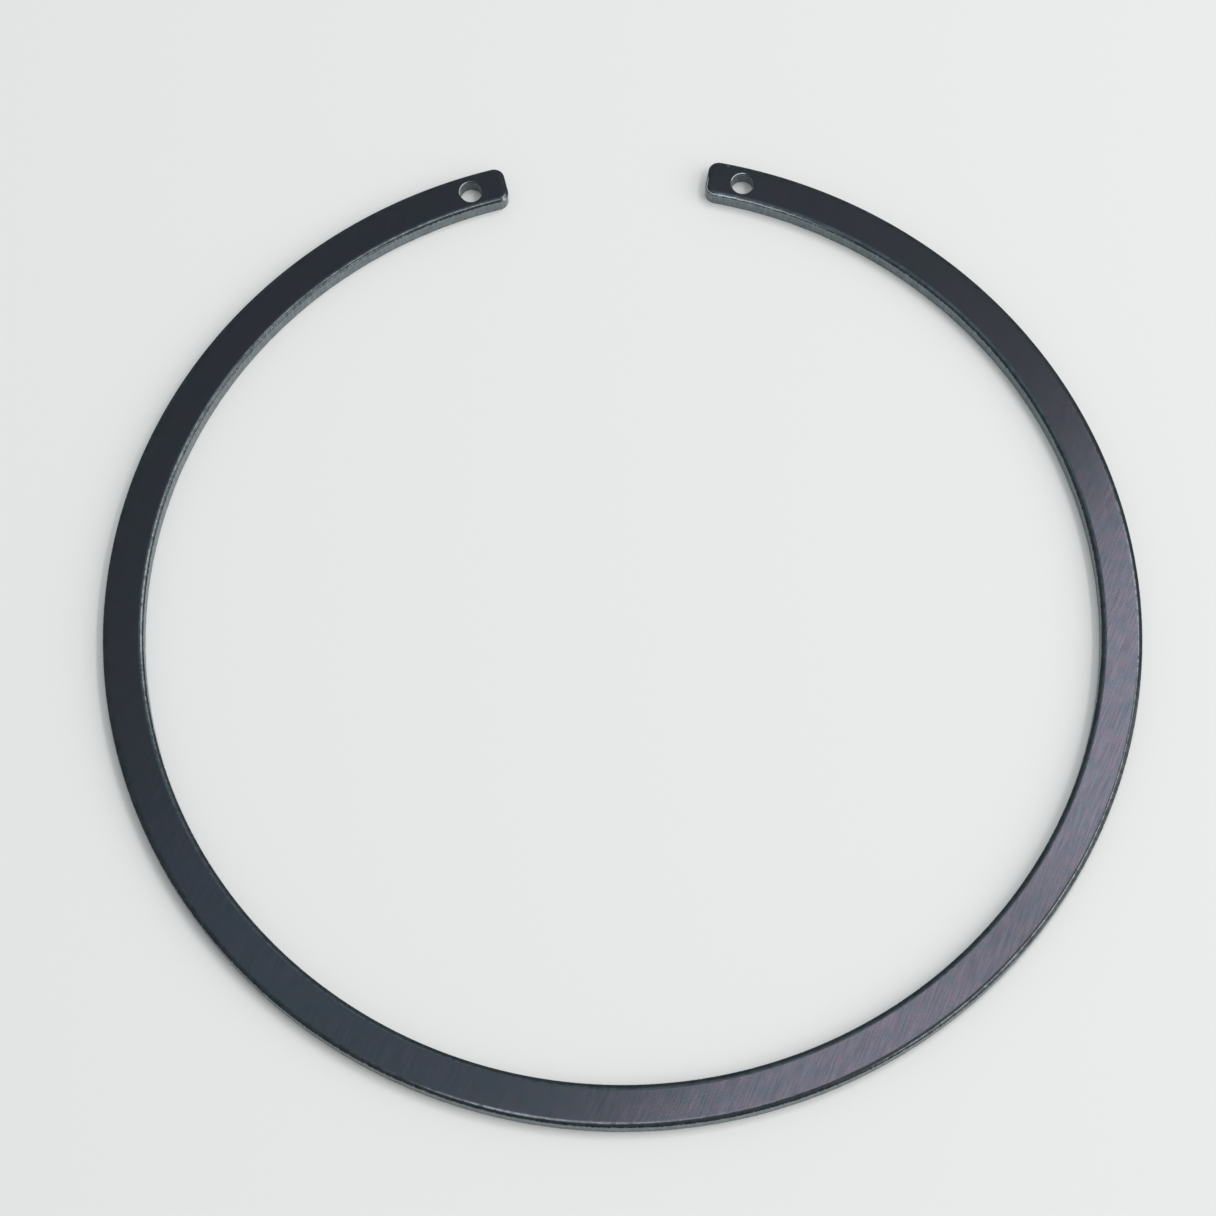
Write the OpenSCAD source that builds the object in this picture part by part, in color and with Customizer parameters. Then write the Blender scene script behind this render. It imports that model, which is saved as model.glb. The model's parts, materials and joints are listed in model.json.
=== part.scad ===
/* [Ring] */
// Outside diameter of the free ring
outer_d = 112; // [80:0.5:160]
// Radial width of the band at the back, opposite the gap
band_w_back = 4.55; // [4:0.05:6.5]
// Radial width that the band tapers to at the gap
band_w_gap = 4.3; // [3.9:0.05:6]
// Thickness of the spring steel sheet
sheet_t = 2; // [1.2:0.1:3]

/* [Gap and ends] */
// Angle between the two end faces, seen from the centre of the ring
gap_angle = 24.4; // [8:0.1:60]
// Plan radius of the four corners of the ends
corner_r = 1.2; // [0.7:0.05:1.8]

/* [Plier holes] */
// Bore of each plier hole
hole_d = 2.5; // [1.2:0.1:2.6]
// Distance from an end face to the centre of its plier hole
hole_setback = 4.1; // [2.6:0.1:12]

/* [Stamped edges] */
// Width of the die roll that the cut pulls down along the outline
roll_w = 0.5; // [0.3:0.05:0.6]
// Depth to which that die roll has sunk at the edge
roll_depth = 0.24; // [0.1:0.01:0.3]
// Width of the smaller die roll round each plier hole
hole_roll_w = 0.12; // [0.1:0.01:0.25]
// Depth to which the die roll round a plier hole has sunk at the bore
hole_roll_depth = 0.08; // [0.05:0.01:0.1]

/* [Hidden] */

// Facets of the large arcs and of the small section arcs, in a preview
$fn = 360;
section_fn = 48;

// Overshoot of every cut past the face that it leaves
cut_past = 0.5;

// The cut of an end crosses the long edges this little outside their line, and its
// die roll starts this little over the face, so that no two surfaces only graze
edge_slack = 0.01;
face_slack = 0.003;

// The inner edge is a circle set a little towards the gap, which tapers the band
outer_r = outer_d / 2;
inner_r = outer_r - (band_w_back + band_w_gap) / 2;
taper_shift = (band_w_back - band_w_gap) / 2;

// Section radii of the die rolls, which run level into the face
roll_r = micron(arc_radius(roll_w, roll_depth));
hole_roll_r = micron(arc_radius(hole_roll_w, hole_roll_depth));

// The outer and the inner part of the band both reach past its middle by a lap
lap = 0.2;
part_reach = max(band_w_back, band_w_gap) / 2 + lap;

// The right end is drawn in a frame whose X axis runs along the end face, from the
// centre of the ring outwards, and whose Y axis points into the gap
end_turn = 90 - gap_angle / 2;
taper_x = taper_shift * cos(gap_angle / 2);
taper_y = taper_shift * sin(gap_angle / 2);

// Where the outer and the inner edge pass the corner centres, and those centres
outer_edge_x = sqrt(pow(outer_r, 2) - pow(corner_r, 2));
inner_edge_x = taper_x + sqrt(pow(inner_r, 2) - pow(corner_r + taper_y, 2));
outer_corner_x = micron(outer_edge_x + edge_slack - corner_r);
inner_corner_x = micron(inner_edge_x - edge_slack + corner_r);

// The cut of an end takes the band away from the end face to past the middle of the gap
gap_reach = outer_r * sin(gap_angle / 2) + cut_past;
gap_near_x = inner_r * cos(gap_angle / 2) - cut_past;
gap_far_x = outer_r + cut_past;

// Each plier hole lies on the middle line of the band
hole_line_r = outer_r - band_w_gap / 2;
hole_x = sqrt(pow(hole_line_r, 2) - pow(hole_setback, 2));

// Radius of an arc that leaves a line level and drops by depth within width
function arc_radius(width, depth) = (pow(width, 2) + pow(depth, 2)) / (2 * depth);

// A length to the nearest thousandth of a millimetre
function micron(length) = round(length * 1000) / 1000;

// Section of the sheet beside a stamped edge: its wall stands at X = 0, the metal
// lies on the left as far as reach, and the top corner has sunk in a die roll.
// A foot carries the section on below the sheet, for use in a cut.
module edge_section(reach, foot = 0) {
    height = sheet_t + foot;
    translate([-reach, -foot]) square([reach - roll_w, height]);
    intersection() {
        translate([-roll_w, -foot]) square([roll_w, height + cut_past]);
        union() {
            translate([-roll_w, sheet_t - roll_r]) circle(r = roll_r, $fn = section_fn);
            translate([-roll_w, -foot]) square([roll_r + cut_past, height - roll_r]);
        }
    }
}

// Outer part of the band, a full turn about the centre of the ring
module outer_band() {
    rotate_extrude()
        translate([outer_r, 0]) edge_section(part_reach);
}

// Inner part of the band, a full turn about the shifted centre of the taper
module inner_band() {
    translate([0, taper_shift, 0])
        rotate_extrude()
            translate([inner_r, 0]) mirror([1, 0]) edge_section(part_reach);
}

// Half turn of one rounded corner, facing the gap or beside it
module end_corner(centre_x, from_angle) {
    foot = 2 * cut_past;
    translate([centre_x, -corner_r, 0])
        rotate(from_angle)
            rotate_extrude(angle = 180)
                intersection() {
                    translate([corner_r, 0]) edge_section(2 * corner_r, foot);
                    translate([0, -2 * foot]) square([2 * corner_r, sheet_t + 3 * foot]);
                }
}

// Form that the die leaves at an end: two corners, and the end face between them
module end_form() {
    end_corner(outer_corner_x, -90);
    end_corner(inner_corner_x, 90);
    translate([inner_corner_x, 0, 0])
        rotate([90, 0, 90])
            linear_extrude(height = outer_corner_x - inner_corner_x)
                edge_section(1.5 * corner_r, 2 * cut_past);
}

// Waste that is cut from the gap at one end, all but the form of the end
module end_waste() {
    difference() {
        translate([gap_near_x, -corner_r, -cut_past])
            cube([gap_far_x - gap_near_x, corner_r + gap_reach, sheet_t + 2 * cut_past]);
        translate([0, 0, face_slack]) end_form();
    }
}

// Plier hole as the punch leaves it, with a die roll that flares its mouth
module plier_hole() {
    mouth_r = hole_d / 2 + hole_roll_w;
    translate([hole_x, -hole_setback, 0])
        rotate_extrude() {
            translate([0, -cut_past]) square([hole_d / 2, sheet_t + 2 * cut_past]);
            difference() {
                translate([0, sheet_t - hole_roll_r]) square([mouth_r, hole_roll_r + cut_past]);
                translate([mouth_r, sheet_t + face_slack - hole_roll_r])
                    circle(r = hole_roll_r, $fn = section_fn);
            }
        }
}

// Makes a cut at both ends of the ring, the second one as its mirror image
module at_both_ends() {
    rotate(end_turn) children();
    mirror([1, 0, 0]) rotate(end_turn) children();
}

// The whole retaining ring, stamped from one piece of spring steel
module retaining_ring() {
    color("#2d2b2e")
        difference() {
            union() {
                outer_band();
                inner_band();
            }
            at_both_ends() end_waste();
            at_both_ends() plier_hole();
        }
}

retaining_ring();
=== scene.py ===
import json
import math

import bmesh
import bpy
from mathutils import Matrix, Vector, noise


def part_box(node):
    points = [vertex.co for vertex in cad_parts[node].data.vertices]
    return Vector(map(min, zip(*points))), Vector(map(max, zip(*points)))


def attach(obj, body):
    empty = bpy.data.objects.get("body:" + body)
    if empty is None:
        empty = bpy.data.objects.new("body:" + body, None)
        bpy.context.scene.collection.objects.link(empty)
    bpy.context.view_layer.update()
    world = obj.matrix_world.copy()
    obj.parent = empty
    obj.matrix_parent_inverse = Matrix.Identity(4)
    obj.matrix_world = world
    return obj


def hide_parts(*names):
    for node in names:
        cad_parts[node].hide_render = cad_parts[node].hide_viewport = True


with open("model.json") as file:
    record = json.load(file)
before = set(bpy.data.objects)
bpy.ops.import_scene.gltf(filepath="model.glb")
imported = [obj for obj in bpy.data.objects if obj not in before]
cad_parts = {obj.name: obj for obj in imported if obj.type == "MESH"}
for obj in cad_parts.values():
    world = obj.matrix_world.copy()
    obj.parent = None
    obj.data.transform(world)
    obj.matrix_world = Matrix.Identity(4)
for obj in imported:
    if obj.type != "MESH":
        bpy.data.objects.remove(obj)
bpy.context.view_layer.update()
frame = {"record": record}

# The ring is one flat piece of spring steel, blanked from 2 mm sheet in a single stroke.
# The die draws the upper edges down in a smooth roll and burnishes a narrow band below it.
# The rest of the sheet tears, so the lower part of every wall is coarse and dull.
mm = 0.001
low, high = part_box("retaining_ring")
outer_r = (high.x - low.x) / 2
sheet_t = high.z - low.z
band_w_back = 4.55 * mm
band_w_gap = 4.3 * mm
corner_r = 1.2 * mm
gap_angle = math.radians(24.4)

# Section of a stamped edge: the width and depth of each roll, the heights of the wall, and
# how far the torn wall lies back
outline_roll = (0.64 * mm, 0.24 * mm)
hole_roll = (0.16 * mm, 0.09 * mm)
roll_steps = 14
burnish_z = 1.66 * mm
tear_heights = [0, 0.05 * mm, 0.35 * mm, 0.7 * mm, 1.05 * mm, 1.35 * mm, 1.58 * mm]
tear_inset = 0.035 * mm

# The section goes on for a short way along the underside and the face
foot_inset = 0.28 * mm
face_margin = 0.02 * mm

# Steps of the sweep that carries the section round the outline
arc_step = 0.32 * mm
corner_steps = 20
end_steps = 6
hole_steps = 72

up = Vector((0, 0, 1))
centre = Vector((0, 0, 0))
inner_r = outer_r - (band_w_back + band_w_gap) / 2
taper_centre = Vector((0, (band_w_back - band_w_gap) / 2, 0))


def edge_section(bm, at, outward, roll):
    """Draws the section of a stamped edge at a point: foot, torn wall, burnish, roll, face."""
    width, depth = roll
    torn = at - outward * tear_inset
    chain = [at - outward * foot_inset] + [torn + up * z for z in tear_heights]
    chain += [at + up * burnish_z, at + up * (sheet_t - depth)]
    wall = bm.verts.layers.float.new("wall")
    rolled = bm.verts.layers.float.new("rolled")
    verts = [bm.verts.new(co) for co in chain]
    for v in verts[1:]:
        v[wall] = 1
    for pair in zip(verts, verts[1:]):
        bm.edges.new(pair)
    # The roll is a quarter turn about a point level with its foot, flattened to its depth
    pivot = at - outward * width + up * (sheet_t - depth)
    turned = bmesh.ops.spin(bm, geom=[verts[-1]], cent=pivot, axis=outward.cross(up),
                            angle=math.pi / 2, steps=roll_steps)
    for v in bm.verts:
        v[rolled] = (v.co - pivot).dot(outward) / width * v[wall]
        v.co.z = min(v.co.z, pivot.z) + max(v.co.z - pivot.z, 0) * depth / width
    top = turned["geom_last"][0]
    bm.edges.new((top, bm.verts.new(top.co - outward * face_margin)))
    return bm.verts[:] + bm.edges[:]


def sweep(bm, section, cent, angle, steps):
    """Carries the section about an upright axis, and returns its last place."""
    turned = bmesh.ops.spin(bm, geom=section, cent=cent, axis=up, angle=angle, steps=steps)
    return turned["geom_last"]


# The end face lies on a line through the centre of the ring. Each corner's centre lies one
# corner radius from it, and one corner radius from the long edge that the corner meets.
end_angle = (math.pi - gap_angle) / 2
along = Vector((math.cos(end_angle), math.sin(end_angle), 0))
back = Vector((math.sin(end_angle), -math.cos(end_angle), 0))
outer_reach = math.sqrt((outer_r - corner_r) ** 2 - corner_r**2)
outer_corner = along * outer_reach + back * corner_r
inner_reach = math.sqrt((inner_r + corner_r) ** 2 - (corner_r - taper_centre.dot(back)) ** 2)
inner_corner = along * (taper_centre.dot(along) + inner_reach) + back * corner_r
outer_stop = math.atan2(outer_corner.y, outer_corner.x)
inner_stop = math.atan2(inner_corner.y - taper_centre.y, inner_corner.x)

# Half of the outline, from the back of the ring round the right-hand end and back again
bm = bmesh.new()
section = edge_section(bm, Vector((0, -outer_r, 0)), Vector((0, -1, 0)), outline_roll)
turn = outer_stop + math.pi / 2
section = sweep(bm, section, centre, turn, round(turn * outer_r / arc_step))
section = sweep(bm, section, outer_corner, end_angle + math.pi / 2 - outer_stop, corner_steps)
for step in range(end_steps):
    edges = [e for e in section if isinstance(e, bmesh.types.BMEdge)]
    made = bmesh.ops.extrude_edge_only(bm, edges=edges)["geom"]
    verts = [v for v in made if isinstance(v, bmesh.types.BMVert)]
    bmesh.ops.translate(bm, vec=(inner_corner - outer_corner) / end_steps, verts=verts)
    moved = set(verts)
    section = verts + [e for e in made
                       if isinstance(e, bmesh.types.BMEdge) and moved.issuperset(e.verts)]
section = sweep(bm, section, inner_corner, inner_stop + math.pi / 2 - end_angle, corner_steps)
turn = inner_stop + math.pi / 2
sweep(bm, section, taper_centre, -turn, round(turn * inner_r / arc_step))

# The punch leaves the same section round a plier hole, with a smaller roll
mounts = {m["name"]: m for m in frame["record"]["mounts"]}
hole = mounts["plier_hole_right"]
hole_r = hole["dims"]["r_mm"] * mm
hole_centre = Vector(hole["pos_m"]) * Vector((1, 1, 0))
hole_bm = bmesh.new()
hole_edge = hole_centre + Vector((hole_r, 0, 0))
section = edge_section(hole_bm, hole_edge, Vector((-1, 0, 0)), hole_roll)
bmesh.ops.spin(hole_bm, geom=section, cent=hole_centre, axis=up, angle=2 * math.pi,
               steps=hole_steps, use_merge=True)
hole_mesh = bpy.data.meshes.new("plier_hole")
hole_bm.to_mesh(hole_mesh)
hole_bm.free()
bm.from_mesh(hole_mesh)
bpy.data.meshes.remove(hole_mesh)

# The left half is the mirror image, and the two flat faces close the ring
merge_dist = 0.001 * mm
level_slack = 0.01 * mm
half = bm.verts[:] + bm.edges[:] + bm.faces[:]
bmesh.ops.mirror(bm, geom=half, axis="X", merge_dist=merge_dist)
bmesh.ops.remove_doubles(bm, verts=bm.verts[:], dist=merge_dist)
for face_z, facing in ((sheet_t, up), (0, -up)):
    rim = [e for e in bm.edges
           if e.is_boundary and all(abs(v.co.z - face_z) < level_slack for v in e.verts)]
    bmesh.ops.triangle_fill(bm, edges=rim, use_beauty=True, use_dissolve=False, normal=facing)
bmesh.ops.recalc_face_normals(bm, faces=bm.faces[:])

# The torn wall is uneven: its surface wanders in and out, more along the ring than up it
tear_depth = 0.03 * mm
tear_grain = Vector((1.4, 1.4, 0.35)) / mm
sharp_angle = math.radians(50)
wall = bm.verts.layers.float["wall"]
bm.normal_update()
for v in bm.verts:
    if v[wall] and v.co.z < burnish_z - level_slack:
        outward = Vector((v.normal.x, v.normal.y, 0)).normalized()
        v.co += outward * tear_depth * noise.noise(v.co * tear_grain)
for f in bm.faces:
    f.smooth = True
for e in bm.edges:
    e.smooth = e.calc_face_angle() < sharp_angle

ring_mesh = bpy.data.meshes.new("ring_body")
bm.to_mesh(ring_mesh)
bm.free()
ring = bpy.data.objects.new("ring_body", ring_mesh)
bpy.context.scene.collection.objects.link(ring)


def new_material(name):
    """A material with its shader, and a function that adds a node and joins its inputs.

    An input goes by its name, or by its number as in _2 where its name isn't its own.
    """
    material = bpy.data.materials.new(name)
    material.use_nodes = True
    tree = material.node_tree

    def add(kind, **sockets):
        node = tree.nodes.new("ShaderNode" + kind)
        for label, value in sockets.items():
            number = label[1:]
            socket = node.inputs[int(number) if number.isdigit() else label.replace("_", " ")]
            if isinstance(value, bpy.types.NodeSocket):
                tree.links.new(value, socket)
            else:
                socket.default_value = value
        return node

    return material, tree.nodes["Principled BSDF"], add, tree.links


# Satin black finish over ground sheet: it shines violet, with cloudy patches of blue, and fine
# straight grinding marks all run one way. On the roll the finish is rubbed and shines grey.
greenish_black = (0.0012, 0.0066, 0.0090)
bluish_black = (0.0040, 0.0052, 0.0108)
blue_sheen = (0.41, 0.46, 0.57)
violet_sheen = (0.62, 0.495, 0.615)
least_rubbed = (0.30, 0.35, 0.36)
most_rubbed = (0.90, 0.97, 1.0)
finish_rough = 0.127
grind_turn = math.radians(-25)
grind_size = (0.15 * mm, 4 * mm, 1 * mm)

steel, shader, add, links = new_material("black_spring_steel")


def between(value, start, start_color, end, end_color):
    """The colour that runs from one to another as a value goes from its start to its end."""
    ramp = add("ValToRGB", Fac=value)
    for element, position, color in zip(ramp.color_ramp.elements, (start, end),
                                        (start_color, end_color)):
        element.position = position
        element.color = (*color, 1)
    return ramp.outputs["Color"]


def blend(factor, first, second, blend_type="MIX"):
    """Two colours mixed by a factor."""
    mix = add("Mix", Factor=factor, _6=first, _7=second)
    mix.data_type = "RGBA"
    mix.blend_type = blend_type
    return mix.outputs[2]


def combined(operation, first, second, tolerance=0):
    """One operation on two values. Only a comparison has a use for the tolerance."""
    math_node = add("Math", _0=first, _1=second, _2=tolerance)
    math_node.operation = operation
    return math_node.outputs["Value"]


place = add("TexCoord").outputs["Object"]
wall_layer = add("Attribute")
wall_layer.attribute_name = "wall"
on_wall = wall_layer.outputs["Fac"]
roll_layer = add("Attribute")
roll_layer.attribute_name = "rolled"
on_roll = roll_layer.outputs["Fac"]
cloud = add("TexNoise", Vector=place, Scale=0.22 / mm, Detail=3.0).outputs["Fac"]
finish = between(cloud, 0.35, greenish_black, 0.65, bluish_black)

grind_place = add("Mapping", Vector=place, Rotation=(0, 0, grind_turn), Scale=grind_size)
grind_place.vector_type = "TEXTURE"
grind = add("TexNoise", Vector=grind_place.outputs["Vector"], Scale=1.0, Detail=2.0).outputs["Fac"]
grain = add("TexNoise", Vector=place, Scale=6 / mm, Detail=3.0).outputs["Fac"]
ground = add("Bump", Height=grind, Strength=0.10, Distance=0.01 * mm)
grained = add("Bump", Height=grain, Strength=0.12, Distance=0.01 * mm,
              Normal=ground.outputs["Normal"])

patch = add("TexNoise", Vector=place, Scale=0.6 / mm, Detail=6.0, Roughness=0.75).outputs["Fac"]
sheen = between(patch, 0.38, blue_sheen, 0.62, violet_sheen)
marks = add("MapRange", Value=grind, From_Min=0.35, From_Max=0.65, To_Min=0.66, To_Max=1.0)
marked = blend(1.0, sheen, marks.outputs["Result"], "MULTIPLY")
worn = add("TexNoise", Vector=place, Scale=1.8 / mm, Detail=3.0, Roughness=0.6).outputs["Fac"]
rub = between(worn, 0.36, least_rubbed, 0.60, most_rubbed)
rubbing = add("MapRange", Value=on_roll, From_Min=0.05, From_Max=0.25)
links.new(blend(rubbing.outputs["Result"], marked, rub), shader.inputs["Specular Tint"])

# Torn wall: dull grey and coarse, with streaks that run up the wall. The finish is thin on the
# burnished band too, so the grey reaches up to the foot of the roll.
dark_tear = (0.062, 0.088, 0.103)
light_tear = (0.158, 0.192, 0.205)
tear_rough = 0.45
streak_scale = (4 / mm, 4 / mm, 0.6 / mm)
grey_top_low = 1.80 * mm
grey_top_high = 1.89 * mm
height = add("SeparateXYZ", Vector=place).outputs["Z"]
streak_place = add("Mapping", Vector=place, Scale=streak_scale).outputs["Vector"]
streak = add("TexNoise", Vector=streak_place, Scale=1.0, Detail=3.0).outputs["Fac"]
grey_top = add("MapRange", Value=streak, From_Min=0.3, From_Max=0.7,
               To_Min=grey_top_low, To_Max=grey_top_high).outputs["Result"]
torn = combined("MULTIPLY", combined("LESS_THAN", height, grey_top), on_wall)
tear_color = between(streak, 0.3, dark_tear, 0.7, light_tear)
color = blend(torn, finish, tear_color)
rough = add("Mix", Factor=torn, _2=finish_rough, _3=tear_rough)

# A thin light line along the inner roll of the right-hand end, a spot on the inner corner of
# the left-hand end, and an arc on the rim of each plier hole are painted a lighter grey. This is
# partly wear from handling and partly a painted highlight where these edges catch the light. The
# right-hand end has a small brown chip outside.
wear_and_glint_grey = (0.34, 0.37, 0.38, 1)
chip_brown = (0.055, 0.055, 0.038, 1)
rim_leans = {1: Vector((-0.55, 1.05, 0)) * mm, -1: Vector((-1.1, 0.55, 0)) * mm}
rim_line_r = hole_r + 0.07 * mm
spot_lean = Vector((0.72, -0.78, -0.15)) * mm
chip_setback = 2.15 * mm
chip_inset = 0.32 * mm


def distance(spot):
    """How far a point of the finish lies from a spot of the ring."""
    away = add("VectorMath", _0=place, _1=spot)
    away.operation = "DISTANCE"
    return away.outputs["Value"]


def near(spot, reach, solid):
    """One at a spot of the ring, zero from a reach on, with a solid middle."""
    return add("MapRange", Value=distance(spot), From_Min=reach, From_Max=solid).outputs["Result"]


line_wobble = add("TexNoise", Vector=place, Scale=1.6 / mm, Detail=4.0, Roughness=0.7).outputs["Fac"]
wander = combined("ADD", on_roll, combined("MULTIPLY", line_wobble, 0.5))
line = combined("COMPARE", wander, 1.0, tolerance=0.075)
inner_side = combined("LESS_THAN", distance(centre), outer_r - band_w_gap / 2)
worn_glint_end = near(inner_corner + up * sheet_t, reach=17 * mm, solid=3 * mm)
wear_and_glint = combined("MULTIPLY", combined("MULTIPLY", line, inner_side), worn_glint_end)
for side, lean in rim_leans.items():
    mouth = Vector((side * hole_centre.x, hole_centre.y, sheet_t))
    rim_line = combined("COMPARE", distance(mouth), rim_line_r, tolerance=0.05 * mm)
    arc = combined("MULTIPLY", rim_line, near(mouth + lean, reach=1.1 * mm, solid=0.7 * mm))
    wear_and_glint = combined("MAXIMUM", wear_and_glint, arc)
wear_and_glint = combined("MULTIPLY", wear_and_glint, combined("GREATER_THAN", height, sheet_t - outline_roll[1]))
left_corner = Vector((-inner_corner.x, inner_corner.y, sheet_t))
left_spot = near(left_corner + spot_lean, reach=0.30 * mm, solid=0.10 * mm)
wear_and_glint = combined("MAXIMUM", wear_and_glint, combined("MULTIPLY", left_spot, on_roll))
chip_turn = end_angle - chip_setback / outer_r
chip_way = Vector((math.cos(chip_turn), math.sin(chip_turn), 0))
chip_spot = chip_way * (outer_r - chip_inset) + up * sheet_t
chip = near(chip_spot, reach=0.26 * mm, solid=0.08 * mm)
# Base colour: the finish and torn wall, the lighter grey of wear and painted highlight, and the
# brown chip
links.new(blend(chip, blend(wear_and_glint, color, wear_and_glint_grey), chip_brown), shader.inputs["Base Color"])

links.new(rough.outputs[0], shader.inputs["Roughness"])
coarse = add("Bump", Height=streak, Distance=0.05 * mm, Strength=torn,
             Normal=grained.outputs["Normal"])
links.new(coarse.outputs["Normal"], shader.inputs["Normal"])
shader.inputs["Specular IOR Level"].default_value = 0.60
shader.inputs["Coat Weight"].default_value = 0.38
shader.inputs["Coat Roughness"].default_value = 0.4
ring_mesh.materials.append(steel)

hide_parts("retaining_ring")
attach(ring, "root")

# The table is a plain pale sheet, far larger than the ring. It lies a hair below the ring's
# underside, so that the two don't share one plane.
table_size = 1.6
table_drop = 0.01 * mm
table_bm = bmesh.new()
bmesh.ops.create_grid(table_bm, x_segments=1, y_segments=1, size=table_size / 2)
bmesh.ops.translate(table_bm, vec=-up * table_drop, verts=table_bm.verts[:])
table_mesh = bpy.data.meshes.new("table")
table_bm.to_mesh(table_mesh)
table_bm.free()
table = bpy.data.objects.new("table", table_mesh)
bpy.context.scene.collection.objects.link(table)
paper, paper_shader = new_material("pale_table")[:2]
paper_shader.inputs["Base Color"].default_value = (0.768, 0.753, 0.733, 1)
paper_shader.inputs["Roughness"].default_value = 0.7
table_mesh.materials.append(paper)

# The room is dim. Dull panels above the right of the ring show in its face, and a faint blue
# glow beside them. A long bright lamp beyond them shows in the roll, and a large low window on
# the right throws the shadow.
world = bpy.data.worlds.new("room")
bpy.context.scene.world = world
world.use_nodes = True
room = world.node_tree.nodes["Background"]
room.inputs["Color"].default_value = (0.95, 1.0, 1.0, 1)
room.inputs["Strength"].default_value = 0.42


def new_lamp(name, size, spot, along, away, radiance, tint=(1, 1, 1)):
    """An oblong soft lamp at a spot, with its length along one way and its back to another."""
    lamp = bpy.data.lights.new(name, "AREA")
    lamp.shape = "RECTANGLE"
    lamp.size, lamp.size_y = size
    lamp.energy = radiance * math.pi * lamp.size * lamp.size_y
    lamp.color = tint
    across = along.cross(away).normalized()
    turn = Matrix((across, away.cross(across), away)).transposed().to_4x4()
    holder = bpy.data.objects.new(name, lamp)
    bpy.context.scene.collection.objects.link(holder)
    holder.matrix_world = Matrix.Translation(spot) @ turn
    holder.visible_camera = False


# The panels hang a metre up, and their lengths all run the same way, away to the right. Each
# has its place to the side of that run and along it.
panel_run = Vector((0.609, 0.793, 0))
panel_side = Vector((0.793, -0.609, 0))
panel_tint = (0.93, 0.955, 1.0)
glow_tint = (0.42, 0.74, 0.92)
for name, size, side, run, radiance, tint in (
    ("near_panel", (0.134, 0.54), -0.017, 0.020, 7.7, panel_tint),
    ("far_panel", (0.134, 0.255), -0.017, 0.4325, 9.7, panel_tint),
    ("side_panel", (0.19, 0.22), 0.145, 0.61, 8, panel_tint),
    ("glow", (0.236, 0.50), -0.202, 0.20, 1.05, glow_tint),
):
    spot = up + panel_side * side + panel_run * run
    new_lamp(name, size, spot, panel_run, up, radiance, tint)

lamp_run = Vector((0, 1, 0))
long_spot = Vector((0.47, -0.10, 1.0))
new_lamp("long_lamp", (0.09, 0.70), long_spot, lamp_run, up, radiance=13)
window_spot = Vector((1.58, -0.42, 1.24))
new_lamp("window", (1.8, 1.8), window_spot, lamp_run, window_spot.normalized(), radiance=1.55)

# The camera looks down on the ring from in front of it, a little turned about its axis
frame_px = 1216
focal_px = 3500
view_turn = math.radians(1.32)
view_tilt = math.radians(20.743)
view_roll = math.radians(-0.567)
view_distance = 6.7709 * outer_r
view_offset = Vector((0.0276, -0.02608)) * outer_r
nearest_seen = 0.01
ahead = Vector((0, math.sin(view_tilt), -math.cos(view_tilt)))
level = Vector((1, 0, 0))
rise = Vector((0, math.cos(view_tilt), math.sin(view_tilt)))
right = level * math.cos(view_roll) + rise * math.sin(view_roll)
upward = rise * math.cos(view_roll) - level * math.sin(view_roll)
stand = -(ahead * view_distance + right * view_offset.x + upward * view_offset.y)
lens = bpy.data.cameras.new("camera")
lens.sensor_width = 36
lens.lens = focal_px / frame_px * lens.sensor_width
lens.clip_start = nearest_seen
camera = bpy.data.objects.new("camera", lens)
bpy.context.scene.collection.objects.link(camera)
pose = Matrix((right, upward, -ahead)).transposed().to_4x4()
pose.translation = stand
camera.matrix_world = Matrix.Rotation(-view_turn, 4, "Z") @ pose
bpy.context.scene.camera = camera
bpy.context.scene.view_settings.view_transform = "Standard"
